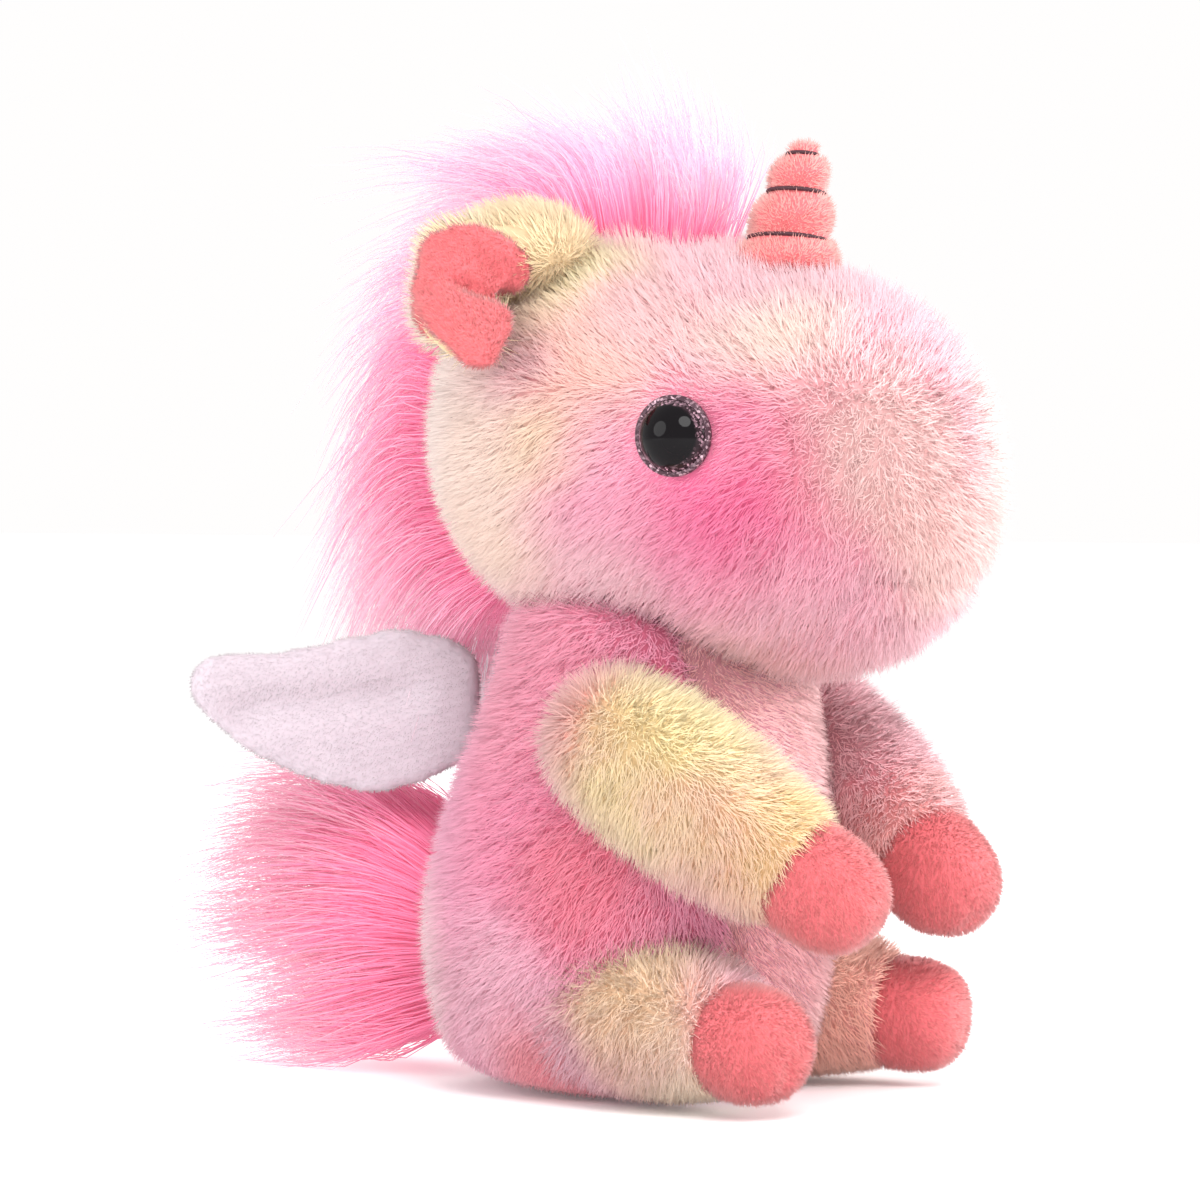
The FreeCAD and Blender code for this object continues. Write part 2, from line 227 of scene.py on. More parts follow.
def longHair(name, root, middle, tip):
    material, tree, shader = newMaterial(name, 0.55, sheen=0.1, specular=0.35)
    along = addNode(tree, "ShaderNodeAttribute", attribute_name="along").outputs["Fac"]
    strand = addNode(tree, "ShaderNodeAttribute", attribute_name="strand").outputs["Fac"]
    uneven = maths(tree, "MULTIPLY", maths(tree, "SUBTRACT", strand, 0.5), 0.35)
    reach = maths(tree, "ADD", along, uneven, clamp=True)
    low = addNode(tree, "ShaderNodeMapRange", {"Value": reach, "From Max": 0.45}).outputs[0]
    high = addNode(tree, "ShaderNodeMapRange", {"Value": reach, "From Min": 0.40}).outputs[0]
    colour = blendColours(tree, low, dye(*root), dye(*middle))
    colour = blendColours(tree, high, colour, dye(*tip))
    value = addNode(tree, "ShaderNodeMapRange", {"Value": strand, "To Min": 0.92, "To Max": 1.05}).outputs[0]
    colour = addNode(tree, "ShaderNodeHueSaturation", {"Color": colour, "Value": value}).outputs[0]
    tree.links.new(colour, shader.inputs["Base Color"])
    return material


def finished(name, bm, materials):
    bmesh.ops.remove_doubles(bm, verts=bm.verts, dist=0.005 * mm)
    bmesh.ops.recalc_face_normals(bm, faces=bm.faces)
    mesh = bpy.data.meshes.new(name)
    bm.to_mesh(mesh)
    bm.free()
    mesh.shade_smooth()
    for material in materials:
        mesh.materials.append(material)
    piece = bpy.data.objects.new(name, mesh)
    collection.objects.link(piece)
    return piece


# puts the piece's modifiers into its mesh
def applied(piece):
    seen = piece.evaluated_get(bpy.context.evaluated_depsgraph_get())
    mesh = bpy.data.meshes.new_from_object(seen)
    piece.modifiers.clear()
    old = piece.data
    piece.data = mesh
    mesh.name = piece.name
    bpy.data.meshes.remove(old)
    return piece


def ball(bm, centre, radii, turn=None):
    place = Matrix.Translation(point(*centre))
    if turn is not None:
        place = place @ turn
    place = place @ Matrix.Diagonal((*(r * mm for r in radii), 1))
    bmesh.ops.create_icosphere(bm, subdivisions=4, radius=1, matrix=place)


# outline of (radius, height) points, spun about a direction from the foot
def spun(bm, profile, foot, direction, steps=40):
    turn = Vector(direction).to_track_quat("Z", "Y").to_matrix().to_4x4()
    place = Matrix.Translation(point(*foot)) @ turn
    verts = [bm.verts.new(place @ point(r, 0, h)) for r, h in profile]
    edges = [bm.edges.new(pair) for pair in zip(verts, verts[1:])]
    axis = turn.to_3x3() @ Vector((0, 0, 1))
    bmesh.ops.spin(bm, geom=verts + edges, cent=point(*foot), axis=axis, angle=2 * math.pi,
                   steps=steps, use_merge=True, use_duplicate=False)
    bmesh.ops.remove_doubles(bm, verts=bm.verts, dist=0.005 * mm)


# between b and c, on a smooth curve that runs from a to d
def curved(a, b, c, d, t):
    return 0.5 * (2 * b + (c - a) * t + (2 * a - 5 * b + 4 * c - d) * t * t
                  + (3 * b - a - 3 * c + d) * t ** 3)


# a soft curve through (radius, height) points
def smoothOutline(points, steps=6):
    padded = [points[0]] + list(points) + [points[-1]]
    soft = []
    for a, b, c, d in zip(padded, padded[1:], padded[2:], padded[3:]):
        for i in range(steps):
            soft.append(tuple(curved(*four, i / steps) for four in zip(a, b, c, d)))
    return [(max(r, 0), h) for r, h in soft] + [points[-1]]


def remeshed(piece, voxel, smoothing):
    remesh = piece.modifiers.new("remesh", "REMESH")
    remesh.mode = "VOXEL"
    remesh.voxel_size = voxel * mm
    smooth = piece.modifiers.new("smooth", "SMOOTH")
    smooth.factor = 0.5
    smooth.iterations = smoothing
    applied(piece)
    piece.data.shade_smooth()
    return piece


# cloth with air pressure inside; no point moves further than the cap
def inflated(piece, pressure, cap, frames=20, pinned=None):
    before = [v.co.copy() for v in piece.data.vertices]
    if pinned is not None:
        group = piece.vertex_groups.new(name="seam")
        for index, weight in pinned.items():
            group.add([index], weight, "REPLACE")
    cloth = piece.modifiers.new("cloth", "CLOTH")
    settings = cloth.settings
    settings.use_pressure = True
    settings.uniform_pressure_force = pressure
    settings.effector_weights.gravity = 0
    settings.quality = 4
    if pinned is not None:
        settings.vertex_group_mass = "seam"
    cloth.collision_settings.use_collision = False
    scene = bpy.context.scene
    cloth.point_cache.frame_start = 1
    cloth.point_cache.frame_end = frames
    for step in range(1, frames + 1):
        scene.frame_set(step)
    applied(piece)
    scene.frame_set(1)
    for vertex, start in zip(piece.data.vertices, before):
        move = vertex.co - start
        if move.length > cap * mm:
            vertex.co = start + move.normalized() * cap * mm
    piece.vertex_groups.clear()
    return piece


def subdivided(piece):
    fine = piece.modifiers.new("fine", "SUBSURF")
    fine.levels = 1
    fine.render_levels = 1
    return applied(piece)


# moves every point inwards by the depth, in mm, that depthAt gives for its place
def pressedIn(piece, depthAt):
    normals = [v.normal.copy() for v in piece.data.vertices]
    for vertex, normal in zip(piece.data.vertices, normals):
        vertex.co -= normal * depthAt(vertex.co / mm) * mm
    return piece


# the faces of a form that keep() says yes to, as a piece of their own
def panelOf(form, name, keep, material):
    bm = bmesh.new()
    bm.from_mesh(form.data)
    drop = [f for f in bm.faces if not keep(f.calc_center_median() / mm, f.normal)]
    bmesh.ops.delete(bm, geom=drop, context="FACES")
    mesh = bpy.data.meshes.new(name)
    bm.to_mesh(mesh)
    bm.free()
    mesh.shade_smooth()
    mesh.materials.append(material)
    piece = bpy.data.objects.new(name, mesh)
    collection.objects.link(piece)
    return piece


# gives a panel its fabric thickness, inwards
def backed(piece, wall):
    solid = piece.modifiers.new("wall", "SOLIDIFY")
    solid.thickness = wall * mm
    solid.offset = -1
    return applied(piece)


def growPile(name, skin, pile, material):
    tree = bpy.data.node_groups.new(name, "GeometryNodeTree")
    tree.interface.new_socket("Geometry", in_out="INPUT", socket_type="NodeSocketGeometry")
    tree.interface.new_socket("Geometry", in_out="OUTPUT", socket_type="NodeSocketGeometry")
    source = tree.nodes.new("NodeGroupInput").outputs[0]

    def randomValue(kind, low, high, seed):
        node = addNode(tree, "FunctionNodeRandomValue", {"Seed": seed}, data_type=kind)
        first = 0 if kind == "FLOAT_VECTOR" else 2
        node.inputs[first].default_value = low
        node.inputs[first + 1].default_value = high
        return node.outputs[0 if kind == "FLOAT_VECTOR" else 1]

    def attribute(key, kind="FLOAT"):
        return addNode(tree, "GeometryNodeInputNamedAttribute", {"Name": key}, data_type=kind).outputs[0]

    def stored(geometry, key, value, kind="FLOAT"):
        return addNode(tree, "GeometryNodeStoreNamedAttribute",
                       {"Geometry": geometry, "Name": key, "Value": value},
                       data_type=kind, domain="POINT").outputs[0]

    density = maths(tree, "MULTIPLY", attribute("thick"), pile["perSquareMm"] * 1e6)
    roots = addNode(tree, "GeometryNodeDistributePointsOnFaces", {"Mesh": source, "Density": density,
                                                                  "Seed": pile["seed"]})
    normal = roots.outputs["Normal"]
    spot = tree.nodes.new("GeometryNodeInputPosition").outputs[0]
    comb = attribute("comb", "FLOAT_VECTOR")
    tufts = addNode(tree, "ShaderNodeTexNoise", {"Vector": spot, "Scale": pile["tuftScale"], "Detail": 1.0})
    tufts = vectorMaths(tree, "SUBTRACT", tufts.outputs["Color"], (0.5, 0.5, 0.5))
    stray = randomValue("FLOAT_VECTOR", (-1, -1, -1), (1, 1, 1), pile["seed"] + 1)
    points = stored(roots.outputs["Points"], "rootNormal", normal, "FLOAT_VECTOR")
    rootNormal = attribute("rootNormal", "FLOAT_VECTOR")
    heading = vectorMaths(tree, "ADD", rootNormal, comb)
    heading = vectorMaths(tree, "ADD", heading, vectorMaths(tree, "SCALE", tufts, pile["clump"]))
    heading = vectorMaths(tree, "ADD", heading, vectorMaths(tree, "SCALE", stray, pile["stray"]))
    heading = vectorMaths(tree, "NORMALIZE", heading)
    shade = vectorMaths(tree, "ADD", rootNormal, vectorMaths(tree, "SCALE", heading, 0.55))
    points = stored(points, "shadeNormal", vectorMaths(tree, "NORMALIZE", shade), "FLOAT_VECTOR")
    points = stored(points, "strand", randomValue("FLOAT", 0.0, 1.0, pile["seed"] + 2))
    about = randomValue("FLOAT", 0.0, 6.283, pile["seed"] + 3)
    about = addNode(tree, "ShaderNodeCombineXYZ", {"Z": about}).outputs[0]
    spin = addNode(tree, "FunctionNodeEulerToRotation", {0: about}).outputs[0]
    turn = addNode(tree, "FunctionNodeAlignRotationToVector", {"Rotation": spin, "Vector": heading}, axis="Z")
    long = maths(tree, "MULTIPLY", attribute("tall"), pile["length"] * mm)
    uneven = {"Vector": spot, "Scale": pile["tuftScale"] * 1.7}
    uneven = addNode(tree, "ShaderNodeTexNoise", uneven).outputs[0]
    long = maths(tree, "MULTIPLY", long, maths(tree, "ADD", 0.62, maths(tree, "MULTIPLY", uneven, 0.76)))
    long = maths(tree, "MULTIPLY", long, randomValue("FLOAT", 0.75, 1.12, pile["seed"] + 4))
    thin = pile["radius"] * mm
    size = addNode(tree, "ShaderNodeCombineXYZ", {"X": thin, "Y": thin, "Z": long})
    strand = addNode(tree, "GeometryNodeMeshCone", {"Vertices": 3, "Radius Top": 0.0, "Radius Bottom": 1.0,
                                                    "Depth": 1.0}, fill_type="NGON")
    up = tree.nodes.new("GeometryNodeInputPosition").outputs[0]
    up = addNode(tree, "ShaderNodeSeparateXYZ", {"Vector": up})
    strand = stored(strand.outputs["Mesh"], "along", up.outputs["Z"])
    deep = vectorMaths(tree, "SCALE", rootNormal, -0.3 * mm)
    sunk = addNode(tree, "GeometryNodeSetPosition", {"Geometry": points, "Offset": deep}).outputs[0]
    grown = addNode(tree, "GeometryNodeInstanceOnPoints", {
        "Points": sunk, "Instance": strand, "Rotation": turn.outputs[0], "Scale": size.outputs[0],
    })
    grown = addNode(tree, "GeometryNodeRealizeInstances", {"Geometry": grown.outputs[0]}).outputs[0]
    tree.links.new(grown, tree.nodes.new("NodeGroupOutput").inputs[0])

    grower = skin.modifiers.new("pile", "NODES")
    grower.node_group = tree
    seen = skin.evaluated_get(bpy.context.evaluated_depsgraph_get())
    mesh = bpy.data.meshes.new_from_object(seen)
    skin.modifiers.remove(grower)
    bpy.data.node_groups.remove(tree)
    mesh.name = name
    mesh.shade_smooth()
    shadeNormal = np.empty(len(mesh.vertices) * 3, np.float32)
    mesh.attributes["shadeNormal"].data.foreach_get("vector", shadeNormal)
    mesh.normals_split_custom_set_from_vertices(shadeNormal.reshape(-1, 3))
    for key in ("shadeNormal", "rootNormal"):
        mesh.attributes.remove(mesh.attributes[key])
    mesh.materials.clear()
    mesh.materials.append(material)
    piece = bpy.data.objects.new(name, mesh)
    collection.objects.link(piece)
    return piece


# writes on a panel which way its pile lies, how tall it is and how thick
def groomed(skin, combAt, tallAt=None, thickAt=None):
    mesh = skin.data
    count = len(mesh.vertices)
    comb = np.zeros((count, 3), np.float32)
    tall = np.ones(count, np.float32)
    thick = np.ones(count, np.float32)
    for index, vertex in enumerate(mesh.vertices):
        place = vertex.co / mm
        lie = Vector(combAt(place))
        comb[index] = lie - vertex.normal * lie.dot(vertex.normal)
        if tallAt:
            tall[index] = tallAt(place)
        if thickAt:
            thick[index] = thickAt(place)
    layers = (("comb", "FLOAT_VECTOR", comb), ("tall", "FLOAT", tall), ("thick", "FLOAT", thick))
    for key, kind, values in layers:
        layer = mesh.attributes.get(key) or mesh.attributes.new(key, kind, "POINT")
        layer.data.foreach_set("vector" if kind == "FLOAT_VECTOR" else "value", values.ravel())


def smoothstep(low, high, value):
    t = min(max((value - low) / (high - low), 0), 1)
    return t * t * (3 - 2 * t)


# reads a list of (position, amount) pairs at a position between them
def along(table, value):
    if value <= table[0][0]:
        return table[0][1]
    for (a, low), (b, high) in zip(table, table[1:]):
        if value <= b:
            return low + (high - low) * smoothstep(a, b, value)
    return table[-1][1]


# remeshed and blown up a little; points on the seams are held back
def stuffedForm(name, build, settings, seamDepth=None):
    bm = bmesh.new()
    build(bm)
    form = finished(name + "Form", bm, [])
    remeshed(form, settings["voxel"], settings["smoothing"])
    held = None
    if seamDepth:
        held = {}
        for vertex in form.data.vertices:
            pull = seamDepth(vertex.co / mm)
            if pull > 0.35:
                held[vertex.index] = min(pull, 1.0)
    inflated(form, settings["pressure"], settings["swell"], pinned=held)
    subdivided(form)
    if seamDepth:
        pressedIn(form, lambda place: settings["seam"] * seamDepth(place))
    return form


def everywhere(place, normal):
    return True


# one panel of a form: backing fabric that replaces its CAD node, and pile grown on it
def clothed(form, name, body, node, keep, fabric, pile, pileMaterial, comb, tall=None, thick=None,
            wall=0.8):
    panel = panelOf(form, name + "_fabric", keep, fabric)
    groomed(panel, comb, tall, thick)
    fur = growPile(name + "_pile", panel, pile, pileMaterial)
    for key in ("comb", "tall", "thick"):
        panel.data.attributes.remove(panel.data.attributes[key])
    backed(panel, wall)
    for piece in (panel, fur):
        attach(piece, body)
    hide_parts(*([node] if isinstance(node, str) else node))
    print("made", name, len(fur.data.polygons))


head = {
    "balls": [((0, -2, 117), 35.5), ((0, -18, 114.5), 35.0), ((0, -35, 110.5), 34.6), ((0, -39, 107), 31.2)],
    "gusset": [(-76, 20), (-66, 21), (-52, 29), (-34, 24), (-8, 12), (12, 7)],    # y, half width
    "chin": [(-76, 16), (-62, 18), (-45, 17), (-28, 12)],
    "chinZ": 92.0,
    "voxel": 2.8, "smoothing": 9, "pressure": 4.0, "swell": 1.0, "seam": 0.9, "seamWidth": 2.4,
    "pile": {"perSquareMm": 3.9, "length": 4.6, "radius": 0.135, "clump": 1.15, "stray": 0.36,
             "tuftScale": 330.0, "seed": 10},
    "eyeSeat": ((25.9, -30.4, 116.5), 11.0),
}


def headSeam(place):
    x, y, z = place
    near = 9.0
    if z > head["chinZ"] and y < 12:
        near = abs(abs(x) - along(head["gusset"], y))
    if y < -30 and abs(x) < 19:
        near = min(near, abs(z - head["chinZ"]))
    if z < head["chinZ"] and -76 < y < -28:
        near = min(near, abs(abs(x) - along(head["chin"], y)))
    if (z < head["chinZ"] and y > -28) or y > 12:
        near = min(near, abs(x))
    return math.exp(-(near / head["seamWidth"]) ** 2)


def headBalls(bm):
    for centre, radius in head["balls"]:
        ball(bm, centre, (radius, radius, radius))
    for side in (1, -1):    # the cloth stands out over each eye's washer
        centre, radius = head["eyeSeat"]
        ball(bm, (centre[0] * side, centre[1], centre[2]), (radius, radius, radius))


def headPart(place):
    x, y, z = place
    if z > head["chinZ"]:
        if y < 12 and abs(x) < along(head["gusset"], y):
            return "gusset"
    elif y < -26 and abs(x) < along(head["chin"], y):
        return "chin"
    return "left" if x > 0 else "right"


# brushed back from the nose, and falling on the cheeks
def headComb(place):
    x, y, z = place
    swirl = noise.noise_vector(place * 0.045) * 0.35
    lie = Vector((0.08 * math.copysign(1, x), 0.50, -0.40 if z < 125 else 0.05)) + swirl
    if z > head["chinZ"] and y < 12:    # the pile parts along the gusset's seam
        beyond = abs(x) - along(head["gusset"], y)
        part = 0.6 * smoothstep(-64, -50, y) * math.exp(-(beyond / 4.5) ** 2)
        lie.x += math.copysign(part, x * beyond)
    return lie


def eyeDistance(place):
    return (Vector((abs(place.x), place.y, place.z)) - Vector(eye["centre"])).length


def headTall(place):
    near = eyeDistance(place)
    return (0.30 + 0.70 * smoothstep(7.0, 15.0, near)) * (0.86 if place.y < -45 else 1.0)


def headThick(place):
    x, y, z = place
    if eyeDistance(place) < 7.1:
        return 0.0
    return 0.4 if z < 82 and y > -25 and abs(x) < 20 else 1.0


def makeHead(paint):
    form = stuffedForm("head", headBalls, head, headSeam)
    panels = (("gusset", "head_gusset"), ("chin", "chin_panel"), ("left", "head_side_left"),
              ("right", "head_side_right"))
    for number, (part, node) in enumerate(panels):
        pile = dict(head["pile"], seed=head["pile"]["seed"] + 10 * number)
        clothed(form, node, "head", node, lambda place, normal: headPart(place) == part, paint["headBacking"],
                pile, paint["headFur"], headComb, headTall, headThick)
    bpy.data.objects.remove(form)


eye = {
    "centre": (37.0, -32.0, 116.5), "out": (0.99, -0.14, 0.0),
    "radius": 6.5, "height": 4.3, "rim": 7.0, "pupil": 5.3,
}


def makeEyes(paint):
    for side, name in ((1, "left"), (-1, "right")):
        out = Vector((eye["out"][0] * side, eye["out"][1], 0)).normalized()
        foot = Vector((eye["centre"][0] * side, eye["centre"][1], eye["centre"][2])) - out * 0.6
        domeRadius = (eye["radius"] ** 2 + eye["height"] ** 2) / (2 * eye["height"])
        reach = math.asin(eye["radius"] / domeRadius)
        profile = [(domeRadius * math.sin(reach * i / 18),
                    domeRadius * (math.cos(reach * i / 18) - 1) + eye["height"]) for i in range(19)]
        bm = bmesh.new()
        spun(bm, profile + [(eye["radius"], -0.3), (0, -0.3)], foot, out, 64)
        dome = finished(name + "_eye_dome", bm, [paint["eyeDome"]])
        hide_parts(name + "_eye_lens")
        rim = eye["rim"]
        bm = bmesh.new()
        spun(bm, [(0, -0.8), (rim - 0.2, -0.8), (rim, -0.6), (rim, 0.2), (rim - 0.35, 0.62), (rim - 0.9, 0.5),
                  (0, 0.4)], foot, out, 64)
        ring = finished(name + "_eye_rim", bm, [paint["glitter"]])
        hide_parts(name + "_eye_glitter_disc")
        for piece in (dome, ring):
            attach(piece, "head")
    print("made eyes")


torso = {
    "lean": 5.0,
    "profile": [(0, 1.2), (24, 1.3), (29.4, 3.6), (32, 10), (33.6, 20), (34.2, 33), (33.2, 47), (31, 59),
                (28.0, 70), (26.0, 80), (22, 88), (0, 91)],
    "backPush": 3.6, "backHeight": 30.0,    # the low back stands out, where the pellets lie
    "bellyHalf": 17.0, "bellyY": -16.0, "seat": 22.0,
    "bare": [((31, -14, 65.5), 7), ((20, -8, 16), 11)],    # under each arm's and leg's root: place, radius
    "voxel": 2.8, "smoothing": 5, "pressure": 4.0, "swell": 0.9, "seam": 0.9, "seamWidth": 1.6,
    "pile": {"perSquareMm": 3.8, "length": 4.5, "radius": 0.135, "clump": 1.15, "stray": 0.36,
             "tuftScale": 330.0, "seed": 110},
    "bellyPile": {"perSquareMm": 3.9, "length": 2.6, "radius": 0.135, "clump": 0.9, "stray": 0.2,
                  "tuftScale": 320.0, "seed": 150},
}


def torsoUp():
    lean = math.radians(torso["lean"])
    return Vector((0, -math.sin(lean), math.cos(lean)))


def torsoPart(place):
    x, y, z = place
    if z < 3.2 and math.hypot(x, y) < torso["seat"]:
        return "seat"
    if y < torso["bellyY"] and abs(x) < torso["bellyHalf"] + z * 0.03:
        return "belly"
    return "left" if x > 0 else "right"


def torsoSeam(place):
    x, y, z = place
    near = abs(x) if y > 0 and z > 4 else 9.0
    if y < torso["bellyY"] and z > 4:
        near = min(near, abs(abs(x) - torso["bellyHalf"] - z * 0.03))
    return math.exp(-(near / torso["seamWidth"]) ** 2)


def torsoComb(place):
    swirl = noise.noise_vector(place * 0.05) * 0.35
    return Vector((0, 0.10, -0.60)) + swirl


def torsoTall(place):
    return 0.25 + 0.75 * smoothstep(1.5, 13, place.z)


def torsoThick(place):
    x, y, z = place
    for hub, reach in torso["bare"]:
        if (Vector((abs(x), y, z)) - Vector(hub)).length < reach:
            return 0.0
    return 0.0 if z > 90 else (0.5 if z < 3 else 1.0)


def makeTorso(paint):
    def build(bm):
        spun(bm, smoothOutline(torso["profile"]), (0, 0, 0), torsoUp())

    form = stuffedForm("torso", build, torso, torsoSeam)
    for vertex in form.data.vertices:
        low = math.exp(-((vertex.co.z / mm - torso["backHeight"]) / 22) ** 2)
        vertex.co.y += torso["backPush"] * mm * low * smoothstep(-10, 30, vertex.co.y / mm)
        vertex.co.z = max(vertex.co.z, 1.2 * mm)
    panels = (("left", "body_side_left", "pile", "bodyFur", "bodyBacking", "tie_dye_fur"),
              ("right", "body_side_right", "pile", "bodyFur", "bodyBacking", "tie_dye_fur"),
              ("belly", "belly_panel", "bellyPile", "bellyFur", "bellyBacking", "belly_plush"),
              ("seat", "seat_panel", "bellyPile", "bellyFur", "bellyBacking", "belly_plush"))
    for number, (part, node, pileName, fur, backing, slot) in enumerate(panels):
        pile = dict(torso[pileName], seed=torso[pileName]["seed"] + 10 * number)
        if part == "seat":
            pile.update(length=1.2, perSquareMm=2.5)
        clothed(form, node, "torso", node, lambda place, normal: torsoPart(place) == part, paint[backing],
                pile, paint[fur], torsoComb, torsoTall, torsoThick)
    bpy.data.objects.remove(form)


limbs = {
    "arm": {
        "foot": (31, -14, 65.5), "direction": (-11.6, -41, -28.5),
        "profile": [(0, -7.5), (5, -6.8), (9.2, -3.8), (11.8, 3), (12.9, 14), (12.5, 27), (10.7, 37),
                    (9.6, 42), (0, 43.5)],
        "hoof": [(0, 38), (7.4, 39), (10.0, 42), (10.2, 47), (9.5, 52), (7.2, 56.4), (3.5, 58.6), (0, 59)],
        "cuff": 41.0,
    },
    "leg": {
        "foot": (20, -8, 16), "direction": (10, -42, -4),
        "profile": [(0, -13), (9, -10.5), (13.2, -2), (13.8, 9), (12.8, 19), (10.8, 27),
                    (9.6, 31.5), (0, 33)],
        "hoof": [(0, 27), (7.5, 28), (9.7, 31), (10.0, 35), (9.6, 39.5), (7.8, 43.2), (4.5, 44.8), (0, 45.2)],
        "cuff": 30.0,
    },
    "voxel": 2.0, "smoothing": 2, "pressure": 5.0, "swell": 0.6, "seam": 0.5, "seamWidth": 1.2,
    "pile": {"perSquareMm": 4.0, "length": 4.6, "radius": 0.135, "clump": 1.15, "stray": 0.36,
             "tuftScale": 330.0, "seed": 210},
    "velour": {"perSquareMm": 7.0, "length": 1.5, "radius": 0.135, "clump": 0.9, "stray": 0.3,
               "tuftScale": 700.0, "seed": 310},
}


def limbFrame(side, kind):
    spec = limbs[kind]
    foot = Vector((spec["foot"][0] * side, *spec["foot"][1:]))
    direction = Vector((spec["direction"][0] * side, *spec["direction"][1:])).normalized()
    return foot, direction


def makeLimb(side, sideName, kind, paint, number):
    spec = limbs[kind]
    foot, direction = limbFrame(side, kind)
    body = sideName + "_" + kind

    def seam(place):
        reach = (place - foot).dot(direction)
        under = (place - foot - direction * reach)
        below = abs(under.x) if under.z < 0 else 9.0
        return math.exp(-(below / limbs["seamWidth"]) ** 2)

    def comb(place):
        return direction * 0.50 + Vector((0, 0.1, -0.30)) + noise.noise_vector(place * 0.06) * 0.3

    def tall(place):
        reach = (place - foot).dot(direction)
        low = 0.35 + 0.65 * smoothstep(1.2, 8.0, place.z)
        return low * (1.0 - 0.25 * smoothstep(spec["cuff"] - 6, spec["cuff"], reach))

    def sleeveThick(place):
        reach = (place - foot).dot(direction)
        return 0.0 if reach > spec["cuff"] + 0.6 else 1.0

    def hoofThick(place):
        reach = (place - foot).dot(direction)
        return 0.0 if reach < spec["cuff"] - 1.5 else 1.0

    def shaped(outline):
        return lambda bm: spun(bm, smoothOutline(outline), foot, direction)

    sleeve = stuffedForm(body, shaped(spec["profile"]), limbs, seam)
    hoof = stuffedForm(body + "Hoof", shaped(spec["hoof"]), limbs, seam)
    for form in (sleeve, hoof):
        for vertex in form.data.vertices:
            vertex.co.z = max(vertex.co.z, 1.0 * mm)
    fur = dict(limbs["pile"], seed=limbs["pile"]["seed"] + 10 * number)
    velour = dict(limbs["velour"], seed=limbs["velour"]["seed"] + 10 * number)
    clothed(sleeve, body + "_sleeve", body, [body + "_sleeve", body + "_stuffing"], everywhere,
            paint[body + "Backing"], fur, paint[body + "Fur"], comb, tall, sleeveThick)
    clothed(hoof, body + "_hoof", body, body + "_hoof", everywhere, paint["velourBacking"], velour,
            paint["velour"], comb, None, hoofThick, wall=0.6)
    for form in (sleeve, hoof):
        bpy.data.objects.remove(form)


ears = {
    "root": (28.6, 4, 143.4), "along": (0.709, 0.658, 0.253), "across": (0.289, 0.057, -0.955), "fold": 26.0,
    "voxel": 1.5, "smoothing": 3, "pressure": 4.0, "swell": 0.4,
    "pile": {"perSquareMm": 4.0, "length": 4.2, "radius": 0.135, "clump": 1.1, "stray": 0.36,
             "tuftScale": 330.0, "seed": 410},
    "velour": {"perSquareMm": 7.0, "length": 1.4, "radius": 0.135, "clump": 0.9, "stray": 0.3,
               "tuftScale": 700.0, "seed": 450},
    "bulge": ((21.5, 8.5, 149.0), (12.0, 11.5, 8.0)),
    # along, across, half length, half width, which way folded, how far forward
    "outerLobes": [(9.0, -1.4, 10.0, 7.4, -1, 0), (9.4, 10.8, 8.6, 8.6, 1, 0),
                   (12.0, 4.8, 6.2, 10.4, 0, 1.0)],
    "liningLobes": [(9.4, -1.4, 10.6, 7.2, -1, 0), (10.0, 11.4, 8.8, 9.0, 1, 0), (7.6, 17.6, 4.8, 5.6, 1, 0),
                    (13.8, 5.4, 6.4, 10.6, 0, 2.0)],
    "crease": (4.6, 1.5, 2.2, 9.0, 16.0),  # across, half width, depth, where it fades along the ear
}


def earFrame(side):
    flip = Vector((side, 1, 1))
    lengthwise = (Vector(ears["along"]) * flip).normalized()
    across = Vector(ears["across"]) * flip
    across = (across - lengthwise * across.dot(lengthwise)).normalized()
    front = across.cross(lengthwise) * side
    root = Vector(ears["root"]) * flip
    return root, lengthwise, across, front


# two lobes folded forward about the crease, joined at the ear's tip
def earLobes(bm, side, lobes, offset, thick):
    root, lengthwise, across, front = earFrame(side)
    for reach, drop, long, wide, bend, lift in lobes:
        turn = Matrix((lengthwise, across, front)).transposed().to_4x4()
        fold = Matrix.Rotation(math.radians(-bend * ears["fold"] * side), 4, lengthwise)
        centre = root + fold @ (lengthwise * reach + across * drop + front * (offset + lift))
        ball(bm, centre, (long, wide, thick), fold @ turn)


